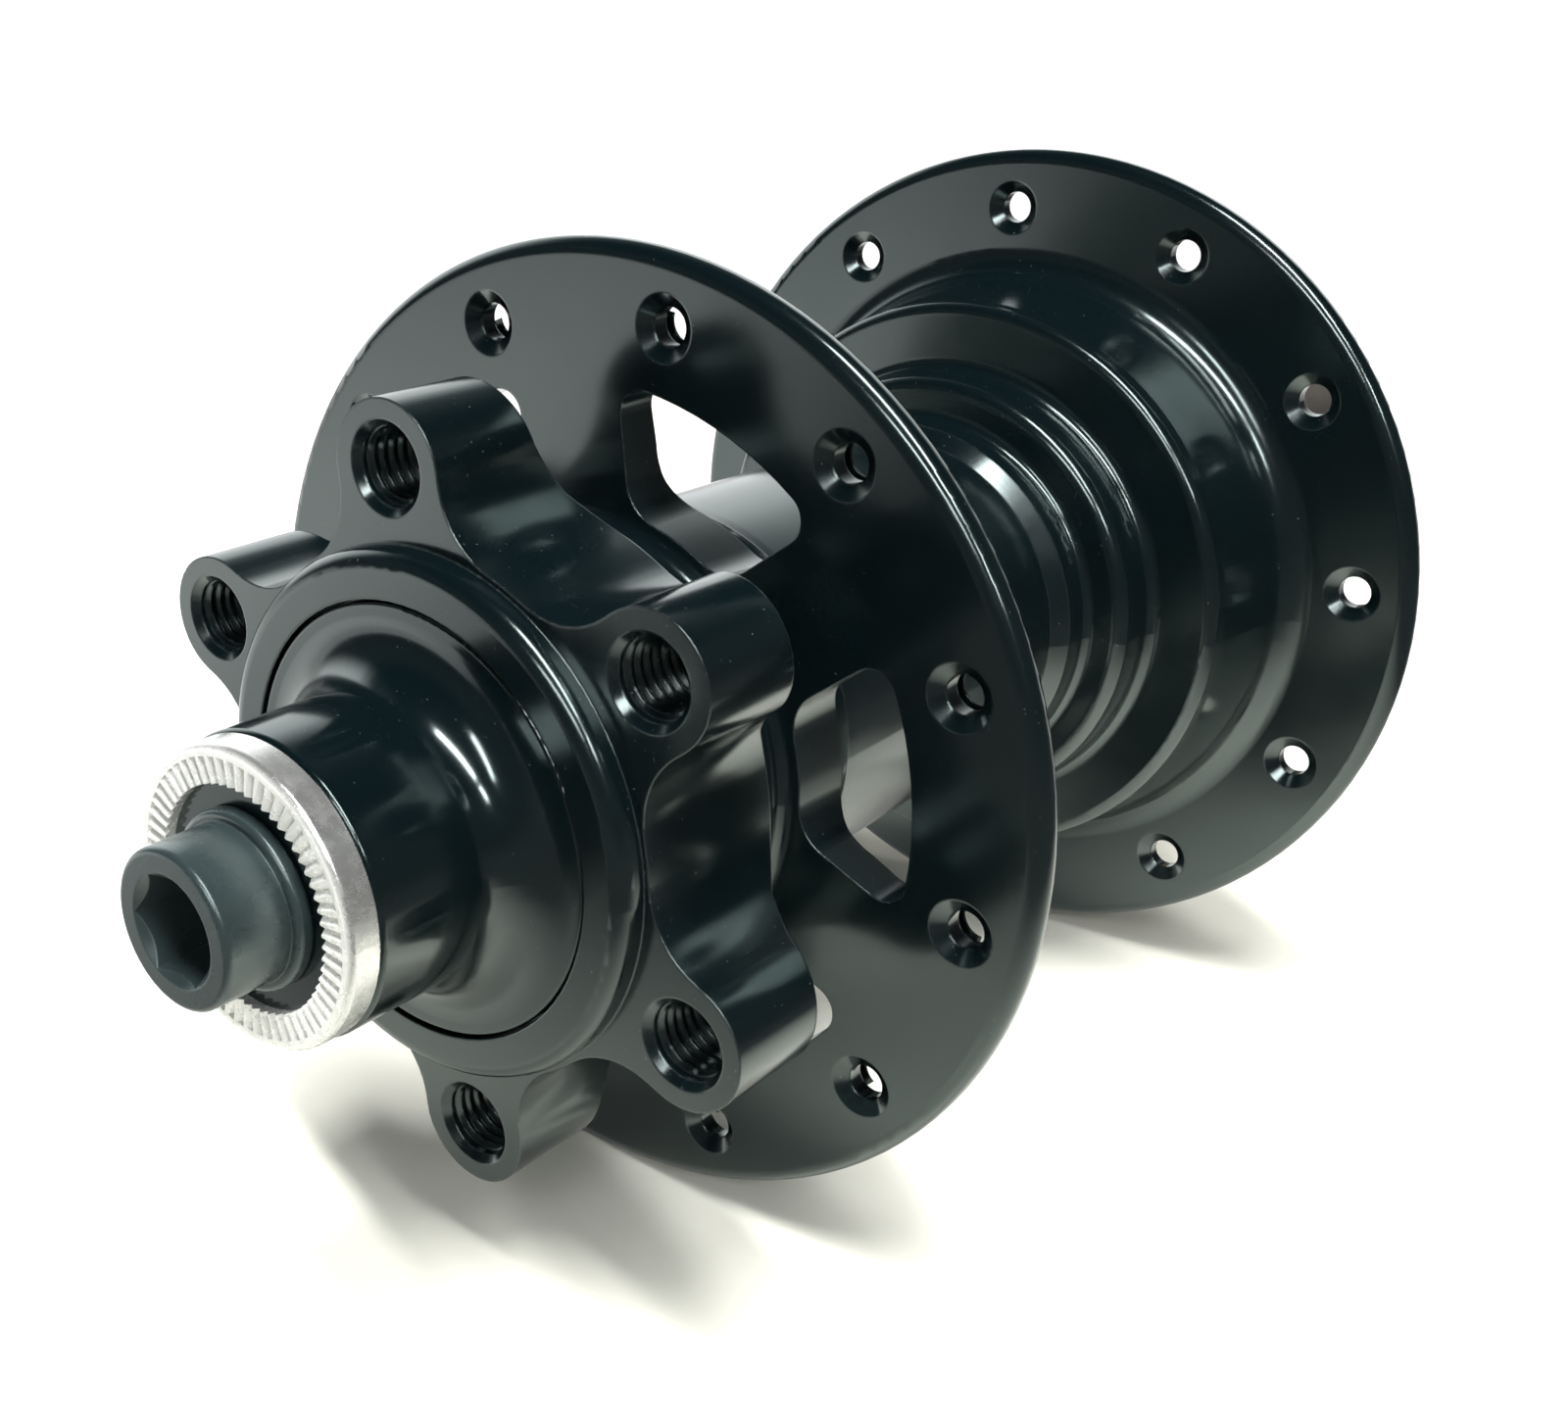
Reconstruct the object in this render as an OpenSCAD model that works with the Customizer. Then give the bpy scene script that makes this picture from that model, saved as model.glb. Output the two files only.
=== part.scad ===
// Rear bicycle hub for a six bolt disc brake, with a cassette freehub.
// The axle lies along Y: the brake side is at -Y, the chain side at +Y, and +Z is up.
// The origin is on the axle, midway between the two faces that the frame clamps.

/* [Axle] */
// Distance between the two faces that the frame clamps
dropout_width = 135; // [134:0.5:140]
// Length of the axle end that sits in the frame's slot
stub_length = 4.9; // [3.5:0.1:5]
// Diameter of the axle end that sits in the frame's slot
stub_d = 9.9; // [9.6:0.1:10]
// Diameter of the hole for the quick release skewer
skewer_d = 5.2; // [5:0.1:5.6]
// Outer diameter of the axle where the bearings sit
axle_d = 15; // [15:0.5:15.5]
// Width across the flats of the socket in the axle ends
socket_af = 6; // [5.8:0.1:6.5]

/* [End caps] */
// Diameter of the straight part of the end caps
cap_d = 19.2; // [18.6:0.1:19.6]
// Radius of the flare where the brake side cap opens into its disc
cap_flare = 3.8; // [2.5:0.1:4]
// Outer diameter of the serrated rings that bite the frame
ring_d = 18.9; // [18:0.1:19.2]
// Inner diameter of the serrated rings
ring_bore = 14.1; // [13.5:0.1:14.4]
// Number of serrations on each ring
ring_teeth = 60; // [40:4:72]

/* [Rotor mount] */
// Distance from the face for the rotor to the face that the frame clamps
rotor_offset = 15.3; // [15:0.1:15.8]
// Diameter of the circle of rotor bolts
rotor_pcd = 44; // [43.8:0.1:44.2]
// Nominal diameter of the rotor bolts
rotor_bolt_d = 5; // [4.8:0.1:5.2]
// Diameter of the shoulder that centres the rotor
register_d = 34.8; // [34.6:0.1:35]
// Height of the shoulder that centres the rotor
register_h = 1.9; // [1.5:0.1:2.2]
// Length of the rotor lugs at their tips
lug_length = 7.4; // [6:0.1:9]
// Angle of the first rotor lug above the +X side
lug_angle = 38.2; // [0:0.1:60]

/* [Flanges] */
// Number of spoke holes in each flange
spokes_per_flange = 12; // [12:6:18]
// Diameter of the spoke holes
spoke_hole_d = 2.5; // [2.4:0.1:2.8]
// Angle from a rotor lug back to the next spoke hole on the brake side
spoke_lag = 17.1; // [15:0.1:19]
// Thickness of the flanges at their rims
flange_t = 2.4; // [2:0.1:3]
// Diameter of the brake side flange
disc_flange_d = 67; // [66:0.5:68]
// Diameter of the circle of spoke holes on the brake side
disc_pcd = 58; // [57:0.5:59]
// Distance from the rotor face to the brake side flange
disc_flange_set = 16.4; // [16:0.1:17]
// Diameter of the chain side flange
drive_flange_d = 68.8; // [68:0.2:70]
// Diameter of the circle of spoke holes on the chain side
drive_pcd = 59.6; // [58.8:0.2:60.4]
// Distance from the middle of the hub to the chain side flange's inner face
drive_flange_set = 19.8; // [19:0.1:20.2]

/* [Body] */
// Diameter of the barrel next to the brake side flange
barrel_d = 29; // [28.6:0.1:30]
// Diameter of the barrel at its slimmest
waist_d = 28; // [27.4:0.1:28.4]
// Diameter of the bearing step on the chain side
step_d = 36.2; // [35.6:0.1:37]
// Diameter of the drum that holds the ratchet
drum_d = 46.8; // [46:0.1:48]

/* [Freehub] */
// Length of the splined part that carries the cassette
spline_length = 35; // [34.5:0.1:35.5]
// Diameter over the splines
spline_d = 34.2; // [34:0.1:34.5]
// Diameter in the grooves between the splines
spline_root_d = 31.9; // [31.7:0.1:32.2]
// Nominal diameter of the thread for the cassette's lock ring
lockring_d = 30.6; // [30.2:0.1:30.8]
// Number of ratchet teeth, a multiple of twelve
ratchet_teeth = 36; // [36:12:36]

/* [Hidden] */
$fn = 96;

// Clearances: parts that sit on each other, parts that turn past each other, rolling balls
seat_gap = 0.01;
turn_gap = 0.15;
ball_gap = 0.05;
edge_r = 0.4;
cut = 0.5;

// Stations along the axle
clamp_y = dropout_width / 2;
end_y = clamp_y + stub_length;
rotor_y = -clamp_y + rotor_offset;
register_y = rotor_y - register_h;
disc_flange_y = rotor_y + disc_flange_set;
drive_flange_y = drive_flange_set;

// Bearings: bore, outside diameter, width, ball diameter, number of balls
large_bearing_d = 28;
large_bearing_w = 7;
large_ball_d = 4;
small_bearing_d = 24;
small_bearing_w = 5;
small_ball_d = 2.4;
large_bearing = [axle_d, large_bearing_d, large_bearing_w, large_ball_d, 12];
small_bearing = [axle_d, small_bearing_d, small_bearing_w, small_ball_d, 18];
cap_disc_t = 1.4;
cap_disc_room = 0.7;
disc_bearing_y = register_y + cap_disc_t + cap_disc_room;
centre_bearing_y = 5.6;
spacer_t = 1.6;
inboard_bearing_y = centre_bearing_y + large_bearing_w + spacer_t;
freehub_to_frame = 5.5;
shoulder_y = clamp_y - freehub_to_frame - spline_length;
freehub_end_y = shoulder_y + spline_length;
lockring_depth = 4.5;
snap_ring_t = 1;
snap_ring_room = 0.5;
outboard_bearing_y = freehub_end_y - lockring_depth - snap_ring_t - small_bearing_w - snap_ring_room;

// Ends of the axle, its bolts and its caps
cap_wall = 2.4;
boss_h = 1.4;
dropout_ring_t = 2.15;
ring_seat_y = clamp_y - dropout_ring_t;
boss_y = ring_seat_y + boss_h;
axle_end_y = boss_y - cap_wall;
collar_d = 11.2;
collar_h = 1.1;
shank_d = 9.3;
shank_length = 11;
socket_depth = 5;
o_ring_set = 4;
o_ring_r = 0.75;
axle_thread_depth = shank_length + 1;
axle_bore_d = 8.2;
axle_mid_d = 16.4;
axle_shoulder_d = 18;
axle_shoulder_t = 3;
cap_disc_over = 0.5;
cap_disc_d = large_bearing_d + cap_disc_over;
cap_seat_gap = 0.4;
cap_seat_d = cap_disc_d + cap_seat_gap;

// Inside of the hub shell
barrel_bore_d = 23;
seat_wall_y = disc_bearing_y + large_bearing[2];
drum_face_y = 9.2;
ratchet_room_y = centre_bearing_y + large_bearing[2] + 0.1;
drum_bore_d = 41;
shell_lip_h = 1.2;
shell_end_y = drive_flange_y + flange_t + shell_lip_h;
neck_d = 30.4;
window_in_r = 16.5;
window_out_r = 24.75;
arm_half_w = 4.4;
valley_r = 17.75;
lug_half_w = 4.35;
lug_tip_r = 26.25;
valley_fillet = 5.8;

// Ratchet, pawls and their carrier
tooth_root_r = 18.3;
tooth_tip_r = 17.2;
ratchet_y = ratchet_room_y + 0.3;
ratchet_w = 8;
carrier_r = 16.4;
carrier_y = ratchet_y + 0.3;
carrier_w = 8;
pawl_y = carrier_y + 1.2;
pawl_w = 5.4;
pawl_pivot_r = 14.8;
pawl_root_r = 1.5;
pawl_tip = [2.08, 6.1];
pawl_heel = [1, 5.71];
pawl_angles = [30, 150, 270];
pawl_fold = 9.4;
tooth_face_angle = 21.9;
tooth_pitch = 360 / ratchet_teeth;
neck_r = 16.6;
lip_r = 18.3;
lip_t = 2.4;
freehub_bore_d = 21.6;

black = "#20282a";
gloss_black = "#151a1c";
steel = "#b9bdc0";
silver = "#d9dcde";
bronze = "#6b5f52";
rubber = "#1b1b1d";
nylon = "#c9c2ae";

// Places children, drawn around the local Z axis, around the axle at station y
module on_axle(y = 0) {
    translate([0, y, 0]) rotate([-90, 0, 0]) children();
}

// The same for a part at the brake side end, with its local Z axis pointing outwards
module on_disc_end(y = 0) {
    translate([0, -y, 0]) rotate([90, 0, 0]) children();
}

// Ring between two radii and two heights
module ring(r_in, r_out, z0, z1) {
    rotate_extrude() translate([r_in, z0]) square([r_out - r_in, z1 - z0]);
}

// Flat profile of a band between two radii whose outer corners are rounded
module rounded_band(r_in, r_out, z0, z1, r_edge) {
    translate([r_in, z0]) square([r_out - r_edge - r_in, z1 - z0]);
    translate([r_in, z0 + r_edge]) square([r_out - r_in, z1 - z0 - 2 * r_edge]);
    for (z = [z0 + r_edge, z1 - r_edge]) translate([r_out - r_edge, z]) circle(r_edge);
}

// Flat profile that fills the corner at radius r and height z with a hollow curve
module corner_fillet(r, z, size, side) {
    difference() {
        translate([r, side > 0 ? z : z - size]) square(size);
        translate([r + size, z + side * size]) circle(size);
    }
}

// Groove in which the balls of a bearing run
module ball_groove(bearing) {
    pitch_r = (bearing[0] + bearing[1]) / 4;
    rotate_extrude() translate([pitch_r, bearing[2] / 2]) circle(bearing[3] / 2 + ball_gap);
}

// Heights of the two bearing rings, as shares of the room between bore and outside
function inner_land(bearing) = bearing[0] / 2 + 0.24 * (bearing[1] - bearing[0]) / 2;
function outer_land(bearing) = bearing[1] / 2 - 0.24 * (bearing[1] - bearing[0]) / 2;

module bearing_inner(bearing) {
    color(steel) difference() {
        ring(bearing[0] / 2, inner_land(bearing), 0, bearing[2]);
        ball_groove(bearing);
    }
}

module bearing_outer(bearing) {
    color(steel) difference() {
        rotate_extrude()
            rounded_band(outer_land(bearing), bearing[1] / 2 - seat_gap, 0, bearing[2], 0.3);
        ball_groove(bearing);
    }
}

module bearing_balls(bearing) {
    pitch_r = (bearing[0] + bearing[1]) / 4;
    color(silver) for (i = [1 : bearing[4]])
        rotate([0, 0, i * 360 / bearing[4]])
            translate([pitch_r, 0, bearing[2] / 2]) sphere(d = bearing[3]);
}

module bearing_cage(bearing) {
    pitch_r = (bearing[0] + bearing[1]) / 4;
    half_t = 0.15 * (bearing[1] - bearing[0]) / 2;
    half_w = bearing[3] / 2 + 0.5;
    mid_z = bearing[2] / 2;
    pocket = bearing[3] + 2 * ball_gap;
    color(nylon) difference() {
        ring(pitch_r - half_t, pitch_r + half_t, mid_z - half_w, mid_z + half_w);
        for (i = [1 : bearing[4]])
            rotate([0, 0, i * 360 / bearing[4]])
                translate([pitch_r - half_t - cut, -pocket / 2, mid_z - pocket / 2])
                    cube([2 * (half_t + cut), pocket, pocket]);
    }
}

module bearing_seals(bearing) {
    seal_t = 0.5;
    color(rubber) for (z = [0.1, bearing[2] - 0.1 - seal_t])
        ring(inner_land(bearing) + turn_gap, outer_land(bearing) - seat_gap, z, z + seal_t);
}

// Axle tube with the two shoulders that hold the bearings apart
module axle() {
    seat_r = axle_d / 2 - seat_gap;
    disc_shoulder_y = seat_wall_y;
    drive_shoulder_y = centre_bearing_y - axle_shoulder_t;
    color(steel) on_axle() difference() {
        union() {
            ring(0, seat_r, -axle_end_y, axle_end_y);
            ring(0, axle_mid_d / 2, disc_shoulder_y, centre_bearing_y);
            for (y = [disc_shoulder_y, drive_shoulder_y])
                ring(0, axle_shoulder_d / 2, y, y + axle_shoulder_t);
        }
        translate([0, 0, -axle_end_y - cut])
            cylinder(h = 2 * axle_end_y + 2 * cut, d = axle_bore_d);
        for (side = [-1, 1])
            translate([0, 0, side * (axle_end_y - axle_thread_depth / 2 + cut / 2)])
                cylinder(h = axle_thread_depth + cut, d = shank_d + 2 * seat_gap, center = true);
    }
}

// Hollow bolt that closes each end of the axle and sits in the frame's slot
module axle_bolt() {
    bolt_length = end_y - boss_y + cap_wall + shank_length;
    color(gloss_black) difference() {
        union() {
            rotate_extrude() intersection() {
                rounded_band(-1, stub_d / 2, boss_y, end_y, edge_r);
                translate([0, boss_y]) square([stub_d, end_y - boss_y]);
            }
            rotate_extrude() intersection() {
                rounded_band(-1, collar_d / 2, boss_y - 0.3 * edge_r, boss_y + collar_h, edge_r);
                translate([0, boss_y]) square([collar_d, collar_h]);
            }
            translate([0, 0, end_y - bolt_length])
                cylinder(h = cap_wall + shank_length + edge_r, d = shank_d);
        }
        translate([0, 0, end_y - bolt_length - cut])
            cylinder(h = bolt_length + 2 * cut, d = skewer_d);
        translate([0, 0, end_y - socket_depth])
            cylinder(h = socket_depth + cut, d = socket_af / cos(30), $fn = 6);
        translate([0, 0, end_y - 0.5])
            cylinder(h = 0.5 + 0.01, r1 = socket_af / 2, r2 = socket_af / 2 + 0.5);
    }
}

module disc_axle_bolt() {
    on_disc_end() axle_bolt();
}

module drive_axle_bolt() {
    on_axle() axle_bolt();
}

// Inside of an end cap: it slides over the axle and its end wall is clamped by the bolt
module cap_bore(from_y) {
    translate([0, 0, from_y - cut])
        cylinder(h = axle_end_y - from_y + cut, d = axle_d + 2 * seat_gap);
    translate([0, 0, axle_end_y - cut])
        cylinder(h = cap_wall + 2 * cut, d = shank_d + 2 * seat_gap);
    rotate_extrude() translate([axle_d / 2, ring_seat_y - o_ring_set]) circle(o_ring_r + ball_gap);
}

// Brake side cap, which flares into the disc that closes the bearing's bore
module disc_end_cap() {
    foot_y = -disc_bearing_y;
    disc_top = -register_y - 0.1;
    color(gloss_black) on_disc_end() difference() {
        rotate_extrude() {
            translate([0, foot_y]) square([inner_land(large_bearing) - 0.1, 2]);
            rounded_band(0, cap_disc_d / 2, disc_top - cap_disc_t, disc_top, 0.25);
            corner_fillet(cap_d / 2 - 0.01, disc_top, cap_flare, 1);
            translate([0, foot_y + 1]) square([cap_d / 2 - edge_r, ring_seat_y - foot_y - 1]);
            rounded_band(0, cap_d / 2, disc_top - 0.5, ring_seat_y, edge_r);
            translate([0, ring_seat_y - 1]) square([ring_bore / 2 - seat_gap, boss_h + 1]);
        }
        cap_bore(foot_y);
    }
}

// Chain side cap, which covers the outer bearing of the freehub
module drive_end_cap() {
    foot_y = outboard_bearing_y + small_bearing[2];
    cover_y = foot_y + snap_ring_t + 0.8;
    cover_r = small_bearing[1] / 2 - 0.2;
    color(gloss_black) on_axle() difference() {
        rotate_extrude() {
            translate([0, foot_y]) square([inner_land(small_bearing) - 0.1, 3]);
            rounded_band(0, cover_r, cover_y, cover_y + 1.4, 0.25);
            corner_fillet(cap_d / 2 - 0.01, cover_y + 1.4, 1.5, 1);
            rounded_band(0, cap_d / 2, cover_y + 0.2, ring_seat_y, edge_r);
            translate([0, ring_seat_y - 1]) square([ring_bore / 2 - seat_gap, boss_h + 1]);
        }
        cap_bore(foot_y);
    }
}

// Serrated steel ring that bites the frame
module dropout_ring() {
    groove_depth = 0.3;
    above = 0.1;
    groove_end_r = ring_d / 2 - 0.75;
    groove = [
        [-groove_depth - above, above],
        [0, -groove_depth],
        [groove_depth + above, above]
    ];
    color(silver) difference() {
        rotate_extrude() intersection() {
            rounded_band(ring_bore / 2, ring_d / 2, ring_seat_y - 1, clamp_y, 0.45);
            translate([0, ring_seat_y]) square([ring_d, ring_d]);
        }
        for (i = [1 : ring_teeth])
            rotate([0, 0, i * 360 / ring_teeth])
                translate([ring_bore / 2 - cut, 0, clamp_y]) rotate([90, 0, 90])
                    linear_extrude(groove_end_r - ring_bore / 2 + cut) polygon(groove);
    }
}

module disc_dropout_ring() {
    on_disc_end() dropout_ring();
}

module drive_dropout_ring() {
    on_axle() dropout_ring();
}

// Rubber ring that holds a cap on the axle while the wheel is out of the frame
module cap_o_ring() {
    color(rubber) rotate_extrude() intersection() {
        translate([axle_d / 2, ring_seat_y - o_ring_set]) circle(o_ring_r);
        translate([axle_d / 2 + seat_gap, 0]) square([2, clamp_y]);
    }
}

module disc_cap_o_ring() {
    on_disc_end() cap_o_ring();
}

module drive_cap_o_ring() {
    on_axle() cap_o_ring();
}

// Spacer between the shell's bearing and the freehub's first bearing
module bearing_spacer() {
    from_y = centre_bearing_y + large_bearing[2];
    color(steel) on_axle()
        ring(axle_d / 2, inner_land(small_bearing) - 0.1, from_y, inboard_bearing_y);
}

// Sleeve between the freehub's two bearings
module freehub_sleeve() {
    from_y = inboard_bearing_y + small_bearing[2];
    color(steel) on_axle()
        ring(axle_d / 2, inner_land(small_bearing) - 0.1, from_y, outboard_bearing_y);
}

module disc_bearing_inner() {
    on_axle(disc_bearing_y) bearing_inner(large_bearing);
}

module disc_bearing_outer() {
    on_axle(disc_bearing_y) bearing_outer(large_bearing);
}

module disc_bearing_balls() {
    on_axle(disc_bearing_y) bearing_balls(large_bearing);
}

module disc_bearing_cage() {
    on_axle(disc_bearing_y) bearing_cage(large_bearing);
}

module disc_bearing_seals() {
    on_axle(disc_bearing_y) bearing_seals(large_bearing);
}

module centre_bearing_inner() {
    on_axle(centre_bearing_y) bearing_inner(large_bearing);
}

module centre_bearing_outer() {
    on_axle(centre_bearing_y) bearing_outer(large_bearing);
}

module centre_bearing_balls() {
    on_axle(centre_bearing_y) bearing_balls(large_bearing);
}

module centre_bearing_cage() {
    on_axle(centre_bearing_y) bearing_cage(large_bearing);
}

module centre_bearing_seals() {
    on_axle(centre_bearing_y) bearing_seals(large_bearing);
}

module inboard_bearing_inner() {
    on_axle(inboard_bearing_y) bearing_inner(small_bearing);
}

module inboard_bearing_outer() {
    on_axle(inboard_bearing_y) bearing_outer(small_bearing);
}

module inboard_bearing_balls() {
    on_axle(inboard_bearing_y) bearing_balls(small_bearing);
}

module inboard_bearing_cage() {
    on_axle(inboard_bearing_y) bearing_cage(small_bearing);
}

module inboard_bearing_seals() {
    on_axle(inboard_bearing_y) bearing_seals(small_bearing);
}

module outboard_bearing_inner() {
    on_axle(outboard_bearing_y) bearing_inner(small_bearing);
}

module outboard_bearing_outer() {
    on_axle(outboard_bearing_y) bearing_outer(small_bearing);
}

module outboard_bearing_balls() {
    on_axle(outboard_bearing_y) bearing_balls(small_bearing);
}

module outboard_bearing_cage() {
    on_axle(outboard_bearing_y) bearing_cage(small_bearing);
}

module outboard_bearing_seals() {
    on_axle(outboard_bearing_y) bearing_seals(small_bearing);
}

// One side of the hollow curve between a rotor lug and the middle of the spider
module lug_fillet() {
    centre_x = lug_half_w + valley_fillet;
    centre_y = sqrt(pow(valley_r + valley_fillet, 2) - pow(centre_x, 2));
    touch = valley_r / (valley_r + valley_fillet);
    difference() {
        polygon([
            [0, 0],
            [0, centre_y],
            [centre_x, centre_y],
            [centre_x * touch, centre_y * touch]
        ]);
        translate([centre_x, centre_y]) circle(valley_fillet);
    }
}

// Flat outline of the rotor spider, with six lugs
module spider_outline() {
    boss_r = lug_half_w;
    circle(valley_r);
    for (i = [0 : 5]) rotate([0, 0, i * 60 - 90]) {
        translate([0, lug_tip_r - boss_r]) circle(boss_r);
        translate([-lug_half_w, 0]) square([2 * lug_half_w, lug_tip_r - boss_r]);
        lug_fillet();
        mirror([1, 0]) lug_fillet();
    }
}

// Space inside which the spider lies: its back slopes from the lug tips to the neck
module spider_envelope() {
    back_y = rotor_y + lug_length;
    tip_drop = 0.3;
    bolt_rise = 1;
    slope_rise = 2.6;
    valley_rise = 4.4;
    neck_rise = 6;
    slope_out = 1.65;
    valley_in = 0.15;
    bolt_out = 0.4;
    rotate_extrude() polygon([
        [0, rotor_y],
        [lug_tip_r + 1, rotor_y],
        [lug_tip_r + 1, back_y - tip_drop],
        [rotor_pcd / 2 + bolt_out, back_y + bolt_rise],
        [valley_r + slope_out, back_y + slope_rise],
        [valley_r - valley_in, back_y + valley_rise],
        [neck_d / 2, back_y + neck_rise],
        [neck_d / 2, disc_flange_y],
        [0, disc_flange_y]
    ]);
}

// Sliver of metal that rounds one corner of a window
module window_corner(centre_r, size, tip_shift) {
    centre_x = arm_half_w + size;
    centre_y = sqrt(pow(centre_r, 2) - pow(centre_x, 2));
    tip_r = centre_r + size * sign(tip_shift) + tip_shift;
    difference() {
        polygon([
            [centre_x, centre_y],
            [arm_half_w - cut, centre_y],
            [arm_half_w - cut, tip_r],
            [centre_x * tip_r / centre_r, centre_y * tip_r / centre_r]
        ]);
        translate([centre_x, centre_y]) circle(size);
    }
}

// Flat outline of the six windows in the brake side flange
module window_outline() {
    inner_corner = 3;
    outer_corner = 1.7;
    difference() {
        circle(window_out_r);
        circle(window_in_r);
        for (i = [0 : 5]) rotate([0, 0, i * 60 - 90]) {
            translate([-arm_half_w, 0]) square([2 * arm_half_w, window_out_r + 1]);
            for (side = [0, 1]) mirror([side, 0]) {
                window_corner(window_in_r + inner_corner, inner_corner, -2);
                window_corner(window_out_r - outer_corner, outer_corner, 1);
            }
        }
    }
}

// Spoke holes of one flange, countersunk on both faces
module spoke_holes(pcd, z0, z1, first_angle) {
    sink_r = 2.2;
    sink_depth = 0.7;
    hole_r = spoke_hole_d / 2;
    for (i = [1 : spokes_per_flange])
        rotate([0, 0, first_angle + i * 360 / spokes_per_flange]) translate([pcd / 2, 0, 0]) {
            translate([0, 0, z0 - cut]) cylinder(h = z1 - z0 + 2 * cut, r = hole_r, $fn = 32);
            translate([0, 0, z0 - 0.01])
                cylinder(h = sink_depth, r1 = sink_r, r2 = hole_r, $fn = 32);
            translate([0, 0, z1 + 0.01 - sink_depth])
                cylinder(h = sink_depth, r1 = hole_r, r2 = sink_r, $fn = 32);
        }
}

// Outside of the shell, from the rotor shoulder to the lip behind the chain side flange
module shell_outside() {
    disc_back_y = disc_flange_y + flange_t;
    disc_web_y = disc_back_y + 0.9;
    drive_back_y = drive_flange_y + flange_t;
    root_fillet = 6;
    ledge_r = waist_d / 2 + 0.9;
    ledge_y = 2.4;
    step_y = 4.9;
    drum_end_r = drum_d / 2 + 0.9;
    lip_out_r = drum_bore_d / 2 + 2;
    rim_edge_r = 0.45 * flange_t;
    rotate_extrude() {
        // Shoulder that centres the rotor, with its rounded edge
        intersection() {
            rounded_band(0, register_d / 2, register_y, rotor_y + 3, 1.1);
            translate([0, register_y]) square([register_d, register_h + 1]);
        }
        // Neck between the spider and the flange
        translate([0, rotor_y + 1]) square([neck_d / 2, disc_flange_set]);
        corner_fillet(neck_d / 2, disc_flange_y, 1.2, -1);
        // Brake side flange, thicker towards the barrel
        rounded_band(0, disc_flange_d / 2, disc_flange_y, disc_back_y, rim_edge_r);
        polygon([
            [0, disc_flange_y + 1],
            [disc_flange_d / 2 - 1.5, disc_flange_y + 1],
            [disc_flange_d / 2 - 1.5, disc_back_y],
            [barrel_d / 2 + root_fillet, disc_web_y],
            [0, disc_web_y]
        ]);
        corner_fillet(barrel_d / 2 - 0.05, disc_web_y - 0.05, root_fillet, 1);
        // Barrel, which narrows towards the chain side
        polygon([
            [0, disc_flange_y + 1],
            [barrel_d / 2, disc_flange_y + 1],
            [barrel_d / 2, disc_web_y + root_fillet],
            [waist_d / 2, ledge_y - 1.4],
            [ledge_r, ledge_y],
            [ledge_r, step_y + 1],
            [0, step_y + 1]
        ]);
        corner_fillet(ledge_r, step_y, 0.8, -1);
        // Step around the bearing
        rounded_band(0, step_d / 2, step_y, drum_face_y + 4, 1.1);
        corner_fillet(step_d / 2, drum_face_y, 1, -1);
        // Drum around the ratchet
        rounded_band(0, drum_d / 2, drum_face_y, drum_face_y + 5, 0.9);
        polygon([
            [0, drum_face_y + 2],
            [drum_d / 2, drum_face_y + 2],
            [drum_end_r, drive_flange_y - 2],
            [drum_end_r, drive_flange_y + 1],
            [0, drive_flange_y + 1]
        ]);
        corner_fillet(drum_end_r - 0.05, drive_flange_y, 2.4, -1);
        // Chain side flange and the lip behind it
        rounded_band(0, drive_flange_d / 2, drive_flange_y, drive_back_y, rim_edge_r);
        corner_fillet(lip_out_r, drive_back_y, 1, 1);
        rounded_band(0, lip_out_r, drive_flange_y, shell_end_y, edge_r);
    }
}

// Bore through the shell: two bearing seats, the barrel and the room for the ratchet
module shell_bore() {
    translate([0, 0, register_y - cut])
        cylinder(h = cap_disc_t + cap_seat_gap + cut, d = cap_seat_d);
    translate([0, 0, register_y])
        cylinder(h = seat_wall_y - register_y, d = large_bearing[1]);
    translate([0, 0, seat_wall_y - cut])
        cylinder(h = centre_bearing_y - seat_wall_y + 2 * cut, d = barrel_bore_d);
    translate([0, 0, centre_bearing_y])
        cylinder(h = ratchet_room_y - centre_bearing_y + cut, d = large_bearing[1]);
    translate([0, 0, ratchet_room_y])
        cylinder(h = shell_end_y - ratchet_room_y + cut, d = drum_bore_d);
}

// Threaded holes for the rotor bolts
module rotor_bolt_holes() {
    for (i = [0 : 5]) rotate([0, 0, i * 60]) translate([rotor_pcd / 2, 0, 0]) {
        translate([0, 0, rotor_y - cut])
            cylinder(h = lug_length + 4, d = rotor_bolt_d, $fn = 48);
        translate([0, 0, rotor_y - 0.01])
            cylinder(h = 0.5, d1 = rotor_bolt_d + 1, d2 = rotor_bolt_d, $fn = 48);
    }
}

module hub_shell() {
    window_top = disc_flange_y - 2.2;
    window_depth = 14;
    disc_hole_angle = lug_angle - spoke_lag;
    drive_hole_angle = disc_hole_angle - 180 / spokes_per_flange;
    color(black) on_axle() difference() {
        union() {
            shell_outside();
            intersection() {
                translate([0, 0, rotor_y]) rotate([0, 0, -lug_angle])
                    linear_extrude(disc_flange_set) spider_outline();
                spider_envelope();
            }
        }
        shell_bore();
        rotate([0, 0, -lug_angle]) {
            rotor_bolt_holes();
            translate([0, 0, window_top]) linear_extrude(window_depth) window_outline();
        }
        spoke_holes(disc_pcd, disc_flange_y, disc_flange_y + flange_t + 0.2, -disc_hole_angle);
        spoke_holes(drive_pcd, drive_flange_y, drive_flange_y + flange_t, -drive_hole_angle);
    }
}

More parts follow.
